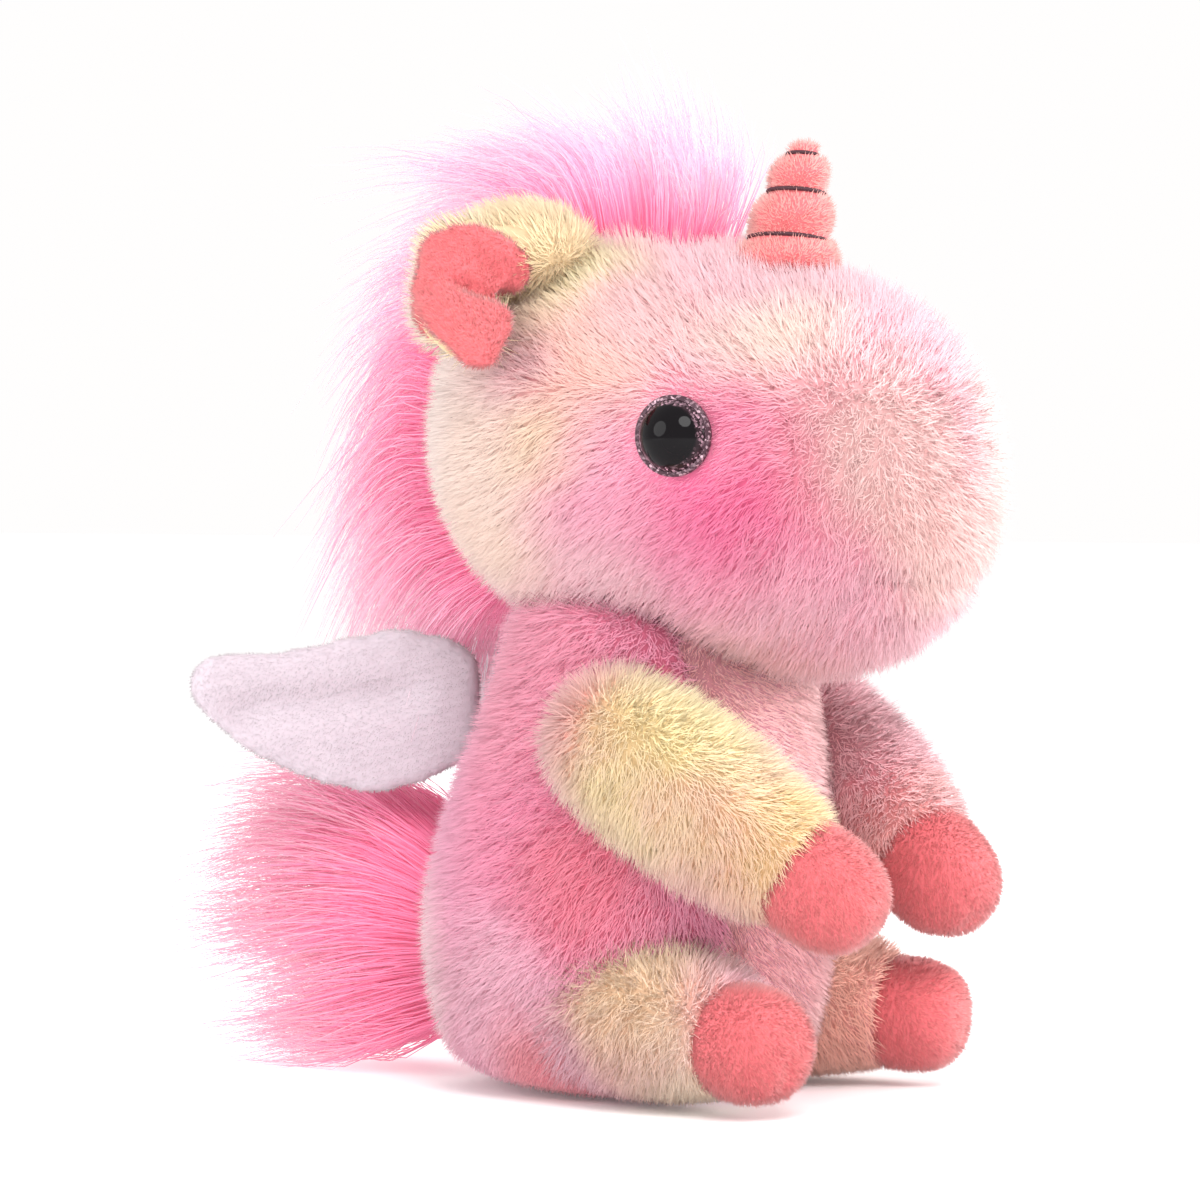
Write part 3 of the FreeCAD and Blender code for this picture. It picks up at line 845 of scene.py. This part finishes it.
def makeEar(side, sideName, paint, number):
    root, lengthwise, across, front = earFrame(side)
    body = sideName + "_ear"

    def outerBuild(bm):
        earLobes(bm, side, ears["outerLobes"], -1.4, 2.6)
        centre, radii = ears["bulge"]
        ball(bm, (centre[0] * side, centre[1], centre[2]), radii)

    def liningBuild(bm):
        earLobes(bm, side, ears["liningLobes"], 1.9, 2.5)

    def comb(place):
        return lengthwise * 0.7 + Vector((0, 0.3, 0.2)) + noise.noise_vector(place * 0.06) * 0.3

    def outerThick(place):
        away = place - root
        return 0.15 if away.dot(front) > 2.5 and away.dot(lengthwise) > 1 else 1.0

    def crease(place):
        away = place - root
        line, width, depth, start, end = ears["crease"]
        dip = math.exp(-((away.dot(across) - line) / width) ** 2)
        fade = 1 - smoothstep(start, end, away.dot(lengthwise))
        return depth * dip * fade if away.dot(front) > 0 else 0.0

    outer = stuffedForm(body + "Outer", outerBuild, ears)
    lining = stuffedForm(body + "Lining", liningBuild, ears)
    pressedIn(lining, crease)
    fur = dict(ears["pile"], seed=ears["pile"]["seed"] + 10 * number)
    velour = dict(ears["velour"], seed=ears["velour"]["seed"] + 10 * number)
    clothed(outer, body + "_outer", body, body + "_outer", everywhere, paint["earBacking"], fur,
            paint["earFur"], comb, None, outerThick)
    clothed(lining, body + "_lining", body, body + "_lining", everywhere, paint["velourBacking"], velour,
            paint["velour"], lambda place: lengthwise * 0.6, wall=0.6)
    for form in (outer, lining):
        bpy.data.objects.remove(form)


horn = {
    "foot": (0, -33.6, 144.3), "rolls": [(9.6, 6.8), (7.2, 8.2), (5.2, 6.6), (2.9, 2.2)], "groove": 2.1,
    "lean": 0.20, "threadRadius": 0.36, "threadTilt": 7.0, "threadProud": 1.95,
    "voxel": 1.1, "smoothing": 2, "pressure": 3.0, "swell": 0.3,
    "pile": {"perSquareMm": 7.0, "length": 1.4, "radius": 0.135, "clump": 0.8, "stray": 0.3,
             "tuftScale": 700.0, "seed": 510},
}


def hornShear(piece):
    foot = Vector(horn["foot"])
    for vertex in piece.data.vertices:
        vertex.co.y -= (vertex.co.z - (foot.z + 10) * mm) * horn["lean"]


def makeHorn(paint):
    foot = Vector(horn["foot"])
    profile = [(0, 0)]
    grooves = []
    low = 0
    for (radius, height), (nextRadius, _) in zip(horn["rolls"], horn["rolls"][1:] + [(0, 0)]):
        for i in range(1, 8):
            turn = math.pi * i / 8
            neck = min(radius, nextRadius) - horn["groove"] if i > 4 and nextRadius else radius - 1.2
            profile.append((neck + (radius - neck) * math.sin(turn), low + height * (1 - math.cos(turn)) / 2))
        low += height
        grooves.append((low, min(radius, nextRadius) - horn["groove"]))
    profile.append((0, low))
    form = stuffedForm("horn", lambda bm: spun(bm, profile, foot, (0, 0, 1)), horn)
    hornShear(form)
    clothed(form, "horn_cover", "horn", ["horn_cover", "horn_stuffing"], everywhere,
            paint["velourBacking"], horn["pile"], paint["hornVelour"],
            lambda place: Vector((0, 0, 0.3)), None,
            lambda place: 0.25 if min(abs(place.z - foot.z - g) for g, _ in grooves[:-1]) < 0.5 else 1.0,
            wall=0.6)
    bpy.data.objects.remove(form)
    bm = bmesh.new()
    for height, radius in grooves[:-1]:
        section = bmesh.ops.create_circle(bm, segments=8, radius=horn["threadRadius"] * mm)["verts"]
        upright = Matrix.Rotation(math.radians(90), 4, "X")
        place = Matrix.Translation(point(radius + horn["threadProud"], 0, 0)) @ upright
        bmesh.ops.transform(bm, matrix=place, verts=section)
        edges = list({e for v in section for e in v.link_edges})
        bmesh.ops.spin(bm, geom=section + edges, cent=(0, 0, 0), axis=(0, 0, 1), angle=2 * math.pi,
                       steps=48, use_merge=True, use_duplicate=False)
        # earlier rings are already lifted off the ground plane
        ring = [v for v in bm.verts if abs(v.co.z) < 1.2 * horn["threadRadius"] * mm]
        tilt = Matrix.Rotation(math.radians(horn["threadTilt"]), 4, "Y")
        lifted = Matrix.Translation(point(foot.x, foot.y, foot.z + height)) @ tilt
        bmesh.ops.transform(bm, matrix=lifted, verts=ring)
    thread = finished("horn_thread_wound", bm, [paint["thread"]])
    hornShear(thread)
    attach(thread, "horn")
    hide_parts("horn_thread")
    print("made horn")


hair = {
    "mane": {
        "guides": [    # root to tip, y and z, from the crown down to the nape
            [(4, 151), (14, 163), (32, 165), (56, 158)],
            [(24, 141), (34, 150), (48, 147), (58, 135)],
            [(32, 128), (44, 133), (54, 122), (59, 104)],
            [(34, 116), (46, 116), (56, 103), (66, 82)],
            [(32, 103), (42, 101), (52, 90), (58, 76)],
            [(27, 95), (38, 90), (44, 80), (46, 68)],
            [(21, 91), (29, 85), (34, 76), (35, 65)],
        ],
        "rootHalf": 6.5, "tipHalf": 13.0, "strands": 4200, "clumps": 150, "seed": 3, "body": "head",
        "node": "mane_hair",
    },
    "forelock": {
        "guides": [
            [(-17, 149), (-20, 158), (-21, 166), (-17, 172)],
            [(-8, 152), (-8, 163), (-6, 172), (-2, 181)],
            [(0, 152), (2, 164), (8, 171), (17, 174)],
            [(6, 152), (12, 163), (24, 168), (36, 167)],
            [(9, 151), (20, 161), (38, 164), (58, 161)],
        ],
        "rootHalf": 8.0, "tipHalf": 13.0, "strands": 2300, "clumps": 90, "seed": 5, "body": "head",
        "node": "forelock_hair",
    },
    "tail": {
        "guides": [
            [(33, 40), (48, 50), (66, 55), (88, 50)],
            [(34, 34), (52, 42), (74, 43), (96, 36)],
            [(35, 27), (54, 29), (78, 26), (100, 22)],
            [(34, 19), (52, 15), (74, 10), (92, 8)],
            [(33, 11), (50, 5), (66, 3), (80, 4)],
        ],
        "rootHalf": 9.0, "tipHalf": 17.0, "strands": 4200, "clumps": 150, "seed": 7, "body": "tail",
        "node": "tail_hair",
    },
    "points": 6, "radius": 0.15,
}


# a place on a smooth line through four guide points
def alongGuide(guide, t):
    place = t * 3
    i = min(int(place), 2)
    f = place - i
    first, last = Vector(guide[0]), Vector(guide[-1])
    line = [first * 2 - Vector(guide[1])] + [Vector(p) for p in guide]
    line.append(last * 2 - Vector(guide[-2]))
    return curved(*line[i:i + 4], f)


# strands gathered in loose clumps, spreading and thinning towards their tips
def hairLines(bm, spec):
    draw = random.Random(spec["seed"])
    guides = spec["guides"]
    clumps = []
    for _ in range(spec["clumps"]):
        lane = draw.uniform(0, len(guides) - 1)
        across = draw.uniform(-1, 1)
        clumps.append((lane, across, draw.gauss(0, 4.5), draw.gauss(0, 4.5), draw.uniform(0.70, 1.06)))
    for number in range(spec["strands"]):
        lane, across, sway, lift, reach = clumps[number % len(clumps)]
        loose = draw.random() ** 2
        lane = min(max(lane + draw.gauss(0, 0.20 + 0.25 * loose), 0), len(guides) - 1)
        across = min(max(across + draw.gauss(0, 0.10 + 0.3 * loose), -1.1), 1.1)
        low = min(int(lane), len(guides) - 2)
        mix = lane - low
        reach *= draw.uniform(0.72, 1.04)
        drift = (draw.gauss(0, 1.2 + 3.2 * loose), draw.gauss(0, 1.2 + 3.2 * loose))
        phase = draw.uniform(0, 6.28)
        pace = draw.uniform(5, 10)
        curl = draw.uniform(0.4, 2.2)
        before = None
        for step in range(hair["points"]):
            t = step / (hair["points"] - 1)
            spot = alongGuide(guides[low], t * reach).lerp(alongGuide(guides[low + 1], t * reach), mix)
            spread = spec["rootHalf"] + (spec["tipHalf"] - spec["rootHalf"]) * t ** 1.2
            wave = math.sin(t * pace + phase) * curl * t
            x = across * spread + (sway + drift[0]) * t * t * 0.8 + wave
            z = spot.y + (lift + drift[1]) * t * t * 0.8
            vert = bm.verts.new(point(x, spot.x + wave * 0.6, max(z + wave * 0.6, 0.6)))
            if before:
                bm.edges.new((before, vert))
            before = vert


def hairTree():
    tree = bpy.data.node_groups.new("strands", "GeometryNodeTree")
    tree.interface.new_socket("Geometry", in_out="INPUT", socket_type="NodeSocketGeometry")
    tree.interface.new_socket("Geometry", in_out="OUTPUT", socket_type="NodeSocketGeometry")
    source = tree.nodes.new("NodeGroupInput").outputs[0]
    lines = addNode(tree, "GeometryNodeMeshToCurve", {"Mesh": source}).outputs[0]
    factor = tree.nodes.new("GeometryNodeSplineParameter").outputs["Factor"]
    lines = addNode(tree, "GeometryNodeStoreNamedAttribute",
                    {"Geometry": lines, "Name": "along", "Value": factor},
                    data_type="FLOAT", domain="POINT").outputs[0]
    own = tree.nodes.new("GeometryNodeCurveOfPoint").outputs["Curve Index"]
    pick = addNode(tree, "FunctionNodeRandomValue", {"ID": own, "Seed": 4}, data_type="FLOAT").outputs[1]
    lines = addNode(tree, "GeometryNodeStoreNamedAttribute",
                    {"Geometry": lines, "Name": "strand", "Value": pick},
                    data_type="FLOAT", domain="POINT").outputs[0]
    thin = maths(tree, "SUBTRACT", 1.0, maths(tree, "MULTIPLY", maths(tree, "POWER", factor, 1.6), 0.85))
    ring = addNode(tree, "GeometryNodeCurvePrimitiveCircle", {"Resolution": 3, "Radius": hair["radius"] * mm})
    mesh = addNode(tree, "GeometryNodeCurveToMesh", {"Curve": lines, "Profile Curve": ring.outputs[0],
                                                     "Scale": thin, "Fill Caps": True}).outputs[0]
    tree.links.new(mesh, tree.nodes.new("NodeGroupOutput").inputs[0])
    return tree


def makeHair(paint):
    tree = hairTree()
    for name in ("mane", "forelock", "tail"):
        spec = hair[name]
        bm = bmesh.new()
        hairLines(bm, spec)
        mesh = bpy.data.meshes.new(name + "_strands")
        bm.to_mesh(mesh)
        bm.free()
        piece = bpy.data.objects.new(name + "_strands", mesh)
        collection.objects.link(piece)
        piece.modifiers.new("strands", "NODES").node_group = tree
        applied(piece)
        piece.data.shade_smooth()
        piece.data.materials.clear()
        piece.data.materials.append(paint["hair"] if name != "tail" else paint["tailHair"])
        piece.visible_shadow = False    # fine hair lets the light through
        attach(piece, spec["body"])
        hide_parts(spec["node"])
        print("made", name, len(piece.data.polygons))
    bpy.data.node_groups.remove(tree)


wings = {
    "root": (8.5, 30.5), "angle": 45.0, "half": 1.9, "valley": 1.8, "ribDepth": 0.07,
    "outline": [(-3, 59), (-4, 68), (-2, 78.5), (12, 82.3), (31, 78.8), (46, 78), (51, 73), (48.5, 67.5),
                (40, 60), (25, 53.5), (12, 52.4)],
    "voxel": 1.6, "smoothing": 2, "pressure": 8.0, "swell": 1.9, "seam": 0.0,
    "ribs": 2.1,    # mm from one knitted rib to the next
    "velour": {"perSquareMm": 4.6, "length": 1.0, "radius": 0.12, "clump": 0.6, "stray": 0.25,
               "tuftScale": 500.0, "seed": 610},
}


def wingAxes(side):
    turn = math.radians(wings["angle"])
    outward = Vector((math.sin(turn) * side, math.cos(turn), 0))
    through = Vector((math.cos(turn) * side, -math.sin(turn), 0))
    return Vector((wings["root"][0] * side, wings["root"][1], 0)), outward, through


def makeWing(side, sideName, paint, number):
    root, outward, through = wingAxes(side)
    body = sideName + "_wing"
    ring = wings["outline"]
    middle = Vector((sum(u for u, _ in ring) / len(ring), sum(z for _, z in ring) / len(ring)))
    closed = ring + ring[:3]
    edge = []
    for a, b, c, d in zip(closed, closed[1:], closed[2:], (ring + ring)[3:]):
        for i in range(5):
            edge.append(tuple(curved(*four, i / 5) for four in zip(a, b, c, d)))
    edge = edge[:5 * len(ring)]

    def build(bm):
        verts = []
        for u, z in edge:
            spot = root + outward * (u * 0.97 + middle.x * 0.03) + Vector((0, 0, z * 0.97 + middle.y * 0.03))
            verts.append(bm.verts.new((spot - through * wings["half"]) * mm))
        face = bm.faces.new(verts)
        top = bmesh.ops.extrude_face_region(bm, geom=[face])
        bmesh.ops.translate(bm, vec=through * (2 * wings["half"] * mm),
                            verts=[g for g in top["geom"] if isinstance(g, bmesh.types.BMVert)])

    def flat(place):
        away = place - root
        return Vector((away.dot(outward), away.z))

    def rim(place):
        spot = flat(place)
        near = min((spot - Vector(p)).length for p in edge)
        return math.exp(-(near / 2.2) ** 2)

    def valley(place):
        spot = flat(place)
        line = 71.5 - 0.09 * spot.x - abs(spot.x - 26) * 0.02
        dip = math.exp(-((spot.y - line) / 3.4) ** 2) * smoothstep(4, 14, spot.x)
        dip *= 1 - smoothstep(38, 48, spot.x)
        ribs = wings["ribDepth"] * math.sin(2 * math.pi * (spot.y + 0.25 * spot.x) / wings["ribs"])
        return wings["valley"] * dip + ribs * (1 - rim(place))

    form = stuffedForm(body, build, wings, rim)
    pressedIn(form, valley)
    for part, face in (("front", 1), ("back", -1)):
        pile = dict(wings["velour"], seed=wings["velour"]["seed"] + 20 * number + 10 * (face > 0))
        nodes = [body + "_" + part] + ([body + "_padding"] if part == "front" else [])
        clothed(form, body + "_" + part, body, nodes,
                lambda place, normal: (place - root).dot(through) * face > 0, paint["wingBacking"], pile,
                paint["wing"], lambda place: outward * 0.5 + Vector((0, 0, -0.3)), wall=0.5)
    bpy.data.objects.remove(form)


def makePaint():
    headPatches = [
        # place, radius, softness, colour
        ((20, 26, 118), 24, 12, (255, 232, 222)),
        ((30, 14, 96), 15, 10, (255, 224, 206)),
        ((26, -4, 148), 13, 8, (255, 242, 190)),
        ((37, 10, 112), 12, 8, (255, 228, 212)),
        ((38, -4, 116), 8, 7, (255, 226, 196)),
        ((34, -14, 132), 12, 9, (255, 206, 190)),
        ((33, -22, 98), 18, 10, (255, 172, 198)),
        ((32, -44, 106), 17, 12, (255, 120, 170)),
        ((29, -55, 104), 14, 10, (255, 106, 160)),
        ((26, -50, 90), 12, 10, (255, 150, 184)),
        ((37, -44, 118), 9, 8, (255, 150, 182)),
        ((34, -8, 84), 14, 9, (255, 206, 214)),
        ((28, -22, 142), 13, 9, (255, 206, 206)),
        ((24, -44, 136), 12, 9, (255, 226, 212)),
        ((20, -68, 114), 18, 10, (255, 214, 210)),
        ((12, -34, 150), 15, 9, (255, 202, 210)),
        ((8, -70, 96), 15, 9, (255, 210, 204)),
        ((20, -50, 80), 16, 9, (255, 188, 204)),
    ]
    bodyPatches = [
        ((24, 22, 40), 22, 12, (255, 168, 200)),
        ((34, 4, 52), 16, 9, (255, 150, 184)),
        ((26, 6, 74), 18, 9, (255, 160, 186)),
        ((32, 6, 16), 15, 9, (255, 192, 212)),
        ((18, 34, 20), 16, 9, (255, 214, 220)),
        ((36, -12, 40), 12, 8, (252, 136, 160)),
        ((30, -4, 0), 15, 8, (244, 150, 162)),
    ]
    yellowArm = [
        ((-27, -26, 60), 19, 8, (255, 238, 178)),
        ((-23, -46, 46), 12, 7, (255, 228, 160)),
        ((-34, -6, 74), 10, 8, (252, 174, 170)),
        # the next two patches, peach on the arm's underside, are partly dye and partly a painted shadow tint
        # in place of the yellow's grey shade
        ((-22, -28, 42), 8, 6, (252, 186, 168)),
        ((-20, -46, 34), 9, 6, (255, 216, 184)),
    ]
    pinkArm = [
        ((26, -30, 56), 15, 8, (255, 200, 206)),
        ((24, -44, 44), 12, 7, (255, 196, 184)),
    ]
    yellowLeg = [
        ((-28, -22, 18), 15, 8, (255, 226, 186)),
        ((-28, -32, 8), 11, 6, (255, 232, 204)),
        ((-18, -8, 28), 9, 6, (255, 176, 190)),
        ((-33, -6, 8), 7, 6, (255, 196, 212)),
    ]
    peachLeg = [
        ((24, -26, 16), 16, 7, (255, 200, 178)),
    ]
    paint = {
        "headFur": dyedFurWithPaintedLight("headFur", (255, 196, 208), headPatches),
        # the ...Backing finishes take rootShade 0.75 over the whole cloth: painted shade on the backing seen
        # between the strands
        "headBacking": dyedFurWithPaintedLight("headBacking", (246, 150, 172), headPatches, 0.95, 0.75, 0.0),
        "bodyFur": dyedFurWithPaintedLight("bodyFur", (255, 166, 196), bodyPatches),
        "bodyBacking": dyedFurWithPaintedLight("bodyBacking", (244, 140, 170), bodyPatches, 0.95, 0.75, 0.0),
        "right_armFur": dyedFurWithPaintedLight("rightArmFur", (255, 196, 196), yellowArm, paired=False),
        "right_armBacking": dyedFurWithPaintedLight("rightArmBacking", (245, 160, 165), yellowArm, 0.95, 0.75, 0.0,
                                    paired=False),
        "left_armFur": dyedFurWithPaintedLight("leftArmFur", (255, 190, 200), pinkArm, paired=False),
        "left_armBacking": dyedFurWithPaintedLight("leftArmBacking", (244, 140, 155), pinkArm, 0.95, 0.75, 0.0,
                                    paired=False),
        "right_legFur": dyedFurWithPaintedLight("rightLegFur", (255, 190, 204), yellowLeg, paired=False),
        "right_legBacking": dyedFurWithPaintedLight("rightLegBacking", (243, 155, 175), yellowLeg, 0.95, 0.75, 0.0,
                                    paired=False),
        "left_legFur": dyedFurWithPaintedLight("leftLegFur", (255, 180, 162), peachLeg, paired=False),
        "left_legBacking": dyedFurWithPaintedLight("leftLegBacking", (243, 155, 170), peachLeg, 0.95, 0.75, 0.0,
                                    paired=False),
        "earFur": dyedFurWithPaintedLight("earFur", (255, 228, 180), [((42, 16, 140), 9, 6, (255, 232, 214))]),
        "earBacking": dyedFurWithPaintedLight("earBacking", (250, 232, 185), [], 0.95, 0.75, 0.0),
        "bellyFur": dyedFurWithPaintedLight("bellyFur", (255, 196, 196), [((0, -34, 30), 16, 9, (248, 176, 180))]),
        "bellyBacking": dyedFurWithPaintedLight("bellyBacking", (228, 165, 178), [], 0.95, 0.75, 0.0),
        # the second colour of each velour is painted shade at the strand roots and on the backing
        "velour": ribbedVelour("velour", (234, 134, 132), (220, 104, 110)),
        "hornVelour": ribbedVelour("hornVelour", (250, 180, 172), (240, 150, 146)),
        "velourBacking": ribbedVelour("velourBacking", (240, 128, 132), (228, 112, 118)),
        "wing": ribbedVelour("wing", (218, 207, 212), (198, 184, 191)),
        "wingBacking": ribbedVelour("wingBacking", (224, 212, 219), (206, 192, 202)),
        "hair": longHair("hair", (246, 118, 162), (250, 166, 198), (238, 202, 214)),
        "tailHair": longHair("tailHair", (246, 124, 164), (246, 142, 178), (230, 180, 194)),
        "thread": threadPaint(),
        "eyeDome": eyePaint(),
        "glitter": glitterPaint(),
    }
    return paint


def threadPaint():
    material, tree, shader = newMaterial("thread", 0.6)
    place = addNode(tree, "ShaderNodeTexCoord").outputs["Object"]
    twist = addNode(tree, "ShaderNodeTexNoise", {"Vector": place, "Scale": 3500.0}).outputs["Fac"]
    tree.links.new(blendColours(tree, twist, dye(40, 22, 30), dye(86, 52, 60)), shader.inputs["Base Color"])
    return material


# flakes of random brightness, most of them dark and a few very bright
def sparkle(tree, place, scale, low, high):
    flakes = addNode(tree, "ShaderNodeTexVoronoi", {"Vector": place, "Scale": scale}).outputs["Color"]
    lit = addNode(tree, "ShaderNodeSeparateColor", {"Color": flakes}).outputs[0]
    lit = maths(tree, "POWER", lit, 5.0)
    return blendColours(tree, lit, dye(*low), dye(*high)), lit


# distance of a place from the nearer eye's axis
def fromEye(tree, place):
    split = addNode(tree, "ShaderNodeSeparateXYZ", {"Vector": place})
    place = addNode(tree, "ShaderNodeCombineXYZ", {
        "X": maths(tree, "ABSOLUTE", split.outputs["X"]), "Y": split.outputs["Y"], "Z": split.outputs["Z"],
    }).outputs[0]
    away = vectorMaths(tree, "SUBTRACT", place, tuple(point(*eye["centre"])))
    depth = vectorMaths(tree, "DOT_PRODUCT", away, tuple(Vector(eye["out"]).normalized()))
    length = vectorMaths(tree, "LENGTH", away)
    square = maths(tree, "MULTIPLY", length, length)
    square = maths(tree, "SUBTRACT", square, maths(tree, "MULTIPLY", depth, depth))
    return maths(tree, "SQRT", maths(tree, "MAXIMUM", square, 0.0))


def eyePaint():
    material, tree, shader = newMaterial("eyeDome", 0.05, specular=0.13)
    place = addNode(tree, "ShaderNodeTexCoord").outputs["Object"]
    colour = sparkle(tree, place, 2600.0, (38, 24, 30), (190, 150, 165))[0]
    ring = addNode(tree, "ShaderNodeMapRange", {
        "Value": fromEye(tree, place), "From Min": (eye["pupil"] - 0.25) * mm,
        "From Max": (eye["pupil"] + 0.25) * mm,
    }, interpolation_type="SMOOTHSTEP").outputs[0]
    tree.links.new(blendColours(tree, ring, (0.004, 0.003, 0.004, 1), colour), shader.inputs["Base Color"])
    return material


def glitterPaint():
    material, tree, shader = newMaterial("glitter", 0.4, specular=0.2)
    place = addNode(tree, "ShaderNodeTexCoord").outputs["Object"]
    colour, lit = sparkle(tree, place, 2400.0, (66, 42, 52), (215, 180, 192))
    tree.links.new(colour, shader.inputs["Base Color"])
    tree.links.new(maths(tree, "MULTIPLY", lit, 0.8), shader.inputs["Metallic"])
    return material


# plain fibre, cloth, plastic or beads that only show when a part is opened
def innerPaint(name, low, high, scale, roughness):
    material, tree, shader = newMaterial(name, roughness)
    place = addNode(tree, "ShaderNodeTexCoord").outputs["Object"]
    cloud = addNode(tree, "ShaderNodeTexNoise", {"Vector": place, "Scale": scale, "Detail": 4.0})
    cloud = cloud.outputs["Fac"]
    tree.links.new(blendColours(tree, cloud, dye(*low), dye(*high)), shader.inputs["Base Color"])
    bump = addNode(tree, "ShaderNodeBump", {"Height": cloud, "Strength": 0.4, "Distance": 0.3 * mm})
    tree.links.new(bump.outputs[0], shader.inputs["Normal"])
    return material


# finishes for the CAD nodes that stay
def paintInside():
    finishes = {
        "fibre": (innerPaint("fibreFill", (214, 214, 210), (250, 250, 248), 420.0, 0.95), "stuffing"),
        "cotton": (innerPaint("pouchCotton", (206, 198, 182), (236, 230, 216), 1500.0, 0.9), "pellet_pouch"),
        "beans": (innerPaint("beanPellets", (190, 196, 200), (232, 236, 238), 600.0, 0.4), "pellets"),
        "plastic": (innerPaint("eyeHardware", (224, 222, 214), (240, 239, 233), 500.0, 0.35), "_eye_"),
        "tape": (innerPaint("knitBacking", (232, 150, 176), (250, 196, 212), 1800.0, 0.95), "mane_tape"),
        "core": (innerPaint("tailCore", (236, 150, 178), (250, 190, 208), 900.0, 0.95), "tail_core"),
    }
    for name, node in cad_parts.items():
        for material, words in finishes.values():
            if words in name:
                for place in node.material_slots:
                    place.material = material
                break


def main():
    bpy.context.scene.view_settings.view_transform = "Standard"
    makeCamera()
    makeStudio()
    paint = makePaint()
    paintInside()
    makeHead(paint)
    makeEyes(paint)
    makeTorso(paint)
    number = 0
    for side, sideName in ((1, "left"), (-1, "right")):
        for kind in ("arm", "leg"):
            makeLimb(side, sideName, kind, paint, number)
            number += 1
        makeEar(side, sideName, paint, number)
        makeWing(side, sideName, paint, number)
    makeHorn(paint)
    makeHair(paint)


main()
